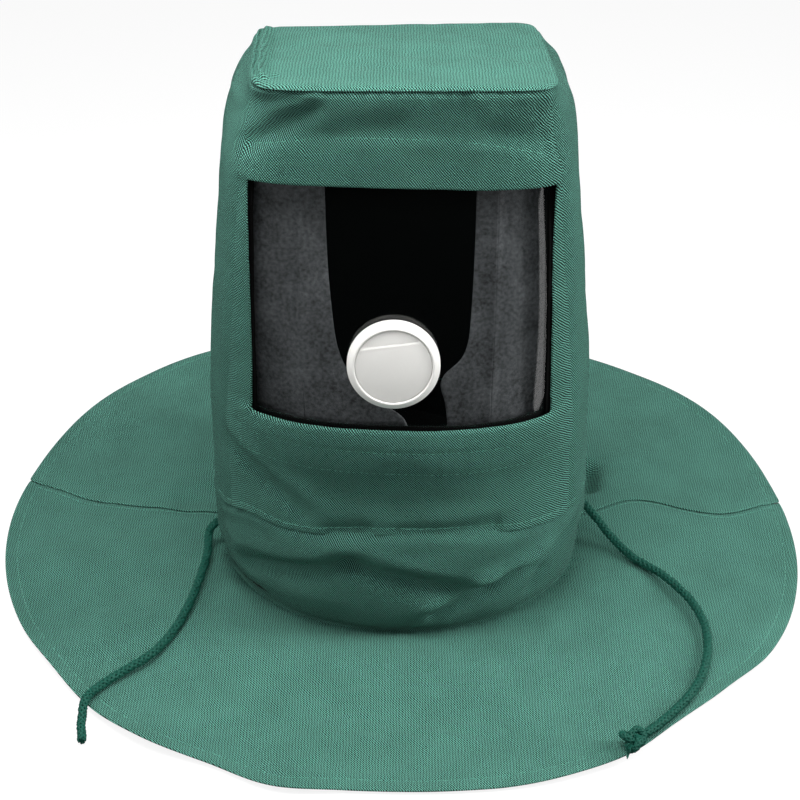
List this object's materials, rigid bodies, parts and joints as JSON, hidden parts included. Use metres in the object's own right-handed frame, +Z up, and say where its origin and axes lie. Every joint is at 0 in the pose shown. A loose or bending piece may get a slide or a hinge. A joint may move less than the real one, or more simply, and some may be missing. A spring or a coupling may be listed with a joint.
{
  "type": "sandblasting hood",
  "caption": "Canvas sandblasting hood with a curved clear window, a round breathing valve, a drawcord neck band and a round shoulder cape.",
  "frame": {"origin": "on the surface that the cape lies on, under the middle of the cape", "axes": "+Z up; the window and valve face -Y; +X is the picture's right"},
  "size_m": [0.5876, 0.583, 0.4072],
  "materials": {
    "canvas": "twill weave, matt",
    "clear_film": "clear, glossy",
    "dark_binding": "matt",
    "face_cloth": "fine grain, satin",
    "white_plastic": "satin",
    "cord": "braided"
  },
  "bodies": {
    "root": {"crown_panel": "canvas", "front_panel": "canvas", "back_panel": "canvas", "lens": "clear_film", "lens_binding_left": "dark_binding", "lens_binding_right": "dark_binding", "window_facing": "canvas", "liner_left": "face_cloth", "liner_center": "face_cloth", "liner_right": "face_cloth", "valve_body": "white_plastic", "valve_cover": "white_plastic", "valve_nut": "white_plastic", "neck_band": "canvas", "cord_casing": "canvas", "cape_front": "canvas", "cape_back": "canvas", "drawcord_left": "cord", "drawcord_right": "cord", "cord_knot": "cord"}
  },
  "joints": []
}
